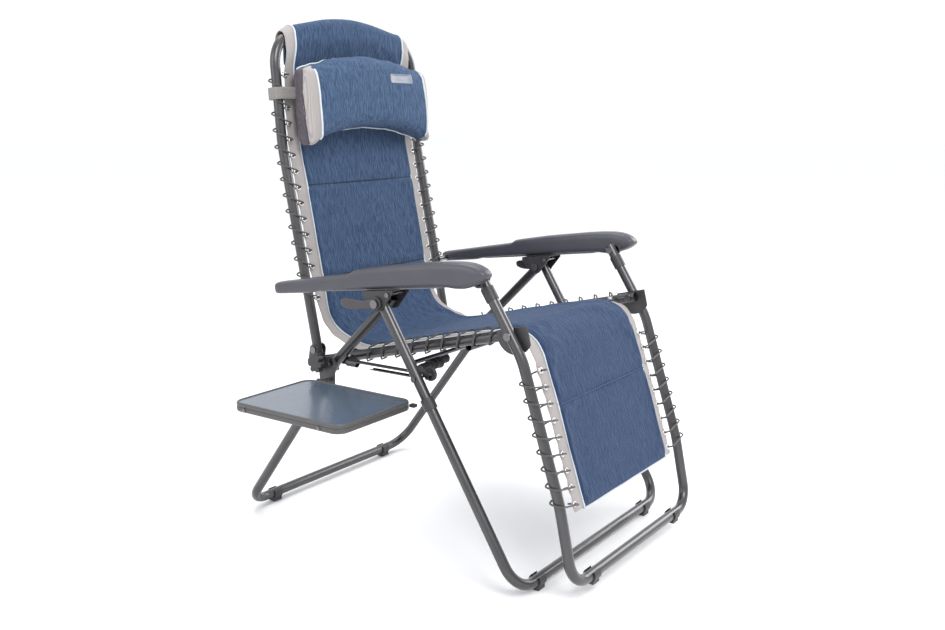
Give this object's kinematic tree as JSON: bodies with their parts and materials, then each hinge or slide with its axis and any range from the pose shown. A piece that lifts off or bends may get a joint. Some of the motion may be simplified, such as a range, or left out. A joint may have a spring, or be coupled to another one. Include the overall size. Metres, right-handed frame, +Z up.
{
  "type": "zero gravity recliner",
  "caption": "Folding reclining lounge chair: tubular frame, laced padded sling, sliding headrest, armrests on lock hubs, foot support and a small fold-up side table.",
  "frame": {"origin": "bottom centre of the whole chair's bounding box, side table included, at the floor", "axes": "+Z up, the sitter faces -Y, +X to the sitter's left, the side table is on -X"},
  "size_m": [0.8892, 0.8964, 1.1414],
  "materials": {
    "frame_tube": "satin",
    "black_plastic": "matte",
    "grey_plastic": "satin",
    "plated_steel": "polished",
    "bracket_steel": "satin",
    "blue_fabric": "matte",
    "strap_webbing": "matte",
    "elastic_cord": "matte",
    "badge": "satin",
    "table_rim": "satin",
    "table_panel": "gloss"
  },
  "bodies": {
    "rear_legs": {"rear_leg_frame": "frame_tube", "rear_foot_clips": "black_plastic", "table_bracket": "bracket_steel", "table_clamp_plate": "bracket_steel", "table_hinge_pin": "plated_steel", "leg_braces": "frame_tube"},
    "front_legs": {"front_leg_frame": "frame_tube", "front_foot_clips": "black_plastic", "brace_slide_bolts": "plated_steel", "brace_slide_discs": "black_plastic", "table_leg_clip": "black_plastic"},
    "seat_pivots": {"seat_pivot_bolts": "plated_steel"},
    "seat_frame": {"seat_frame": "frame_tube", "seat_rail_end_caps": "black_plastic", "back_hinge_ears": "bracket_steel", "seat_cross_rod": "frame_tube", "carry_strap_roll": "strap_webbing", "seat_sling": "blue_fabric", "seat_eyelets": "plated_steel", "seat_lacing_left": "elastic_cord", "seat_lacing_right": "elastic_cord"},
    "back_hinges": {"back_hinge_pins": "plated_steel"},
    "back_frame": {"back_frame": "frame_tube", "back_sling": "blue_fabric", "back_eyelets": "plated_steel", "back_lacing_left": "elastic_cord", "back_lacing_right": "elastic_cord", "top_pocket": "blue_fabric"},
    "headrest": {"headrest_pillow": "blue_fabric", "headrest_strap": "strap_webbing", "headrest_badge": "badge"},
    "knee_plates": {"knee_plates": "bracket_steel", "knee_pins": "plated_steel"},
    "footrest_frame": {"footrest_frame": "frame_tube", "footrest_foot_clips": "black_plastic", "footrest_pivot_bosses": "plated_steel", "footrest_sleeves": "black_plastic", "footrest_sling": "blue_fabric", "footrest_eyelets": "plated_steel", "footrest_lacing_left": "elastic_cord", "footrest_lacing_right": "elastic_cord"},
    "arm_pivots": {"arm_rear_pins": "plated_steel"},
    "armrests": {"armrest_left": "grey_plastic", "armrest_right": "grey_plastic", "armrest_slide_strips": "plated_steel"},
    "hub_pins": {"hub_pins": "plated_steel"},
    "hub_carriages": {"hub_carriages": "black_plastic", "hub_clamp_bolts": "plated_steel"},
    "left_lever": {"lock_lever_left": "grey_plastic"},
    "right_lever": {"lock_lever_right": "grey_plastic"},
    "side_table": {"table_rim": "table_rim", "table_top": "table_panel", "table_support_arms": "bracket_steel", "table_hinge_knuckles": "bracket_steel", "table_rim_screws": "plated_steel", "table_stay": "black_plastic"},
    "star_knob": {"star_knob": "black_plastic"}
  },
  "joints": [
    {"name": "recline", "type": "hinge", "parent": "rear_legs", "child": "seat_pivots", "pos_m": [0.10755, 0.139, 0.408], "axis": [-1, 0, 0], "range_deg": [0, 16.87]},
    {"name": "front_leg_fold", "type": "hinge", "parent": "rear_legs", "child": "front_legs", "pos_m": [0.10755, -0.01, 0.554], "axis": [-1, 0, 0], "range_deg": [-62.02, 0]},
    {"name": "fold", "type": "hinge", "parent": "seat_pivots", "child": "seat_frame", "pos_m": [0.10755, 0.139, 0.408], "axis": [1, 0, 0], "range_deg": [-23.78, 0]},
    {"name": "back_recline", "type": "hinge", "parent": "seat_frame", "child": "back_hinges", "pos_m": [0.10755, 0.2432, 0.41], "axis": [-1, 0, 0], "range_deg": [0, 24.02]},
    {"name": "back_fold", "type": "hinge", "parent": "back_hinges", "child": "back_frame", "pos_m": [0.10755, 0.2432, 0.41], "axis": [-1, 0, 0], "range_deg": [-76.02, 0]},
    {"name": "footrest_recline", "type": "hinge", "parent": "seat_frame", "child": "knee_plates", "pos_m": [0.10755, -0.288, 0.512], "axis": [-1, 0, 0], "range_deg": [0, 44.06]},
    {"name": "footrest_fold", "type": "hinge", "parent": "knee_plates", "child": "footrest_frame", "pos_m": [0.10755, -0.288, 0.512], "axis": [-1, 0, 0], "range_deg": [-76.93, 0]},
    {"name": "arm_recline", "type": "hinge", "parent": "back_frame", "child": "arm_pivots", "pos_m": [0.10755, 0.2715, 0.553], "axis": [-1, 0, 0], "range_deg": [-29.66, 0]},
    {"name": "arm_fold", "type": "hinge", "parent": "arm_pivots", "child": "armrests", "pos_m": [0.10755, 0.2715, 0.553], "axis": [-1, 0, 0], "range_deg": [0, 83.64]},
    {"name": "hub_recline", "type": "hinge", "parent": "rear_legs", "child": "hub_pins", "pos_m": [0.10755, -0.01, 0.554], "axis": [-1, 0, 0], "range_deg": [0, 11.24]},
    {"name": "hub_fold", "type": "hinge", "parent": "hub_pins", "child": "hub_carriages", "pos_m": [0.10755, -0.01, 0.554], "axis": [-1, 0, 0], "range_deg": [0, 31.42]},
    {"name": "left_lever_turn", "type": "hinge", "parent": "hub_carriages", "child": "left_lever", "pos_m": [0.43755, -0.01, 0.554], "axis": [-1, 0, 0], "range_deg": [0, 45]},
    {"name": "right_lever_turn", "type": "hinge", "parent": "hub_carriages", "child": "right_lever", "pos_m": [-0.22245, -0.01, 0.554], "axis": [-1, 0, 0], "range_deg": [0, 45]},
    {"name": "headrest_slide", "type": "slide", "parent": "back_frame", "child": "headrest", "axis": [0, 0.078, 0.997], "range_m": [-0.04, 0]},
    {"name": "table_fold", "type": "hinge", "parent": "rear_legs", "child": "side_table", "pos_m": [-0.22345, 0.14, 0.371], "axis": [0, 1, 0], "range_deg": [0, 82]},
    {"name": "star_knob_turn", "type": "hinge", "parent": "rear_legs", "child": "star_knob", "pos_m": [-0.20945, 0.166, 0.404], "axis": [-1, 0, 0], "continuous": true}
  ],
  "couplings": [
    {"joint": "front_leg_fold", "follows": "fold", "ratio": 2.607},
    {"joint": "back_recline", "follows": "recline", "ratio": 1.4229},
    {"joint": "back_fold", "follows": "fold", "ratio": 3.1957},
    {"joint": "footrest_recline", "follows": "recline", "ratio": 2.611},
    {"joint": "footrest_fold", "follows": "fold", "ratio": 3.2339},
    {"joint": "arm_recline", "follows": "recline", "ratio": -1.7575},
    {"joint": "arm_fold", "follows": "fold", "ratio": -3.516},
    {"joint": "hub_recline", "follows": "recline", "ratio": 0.66542},
    {"joint": "hub_fold", "follows": "fold", "ratio": -1.3203}
  ]
}
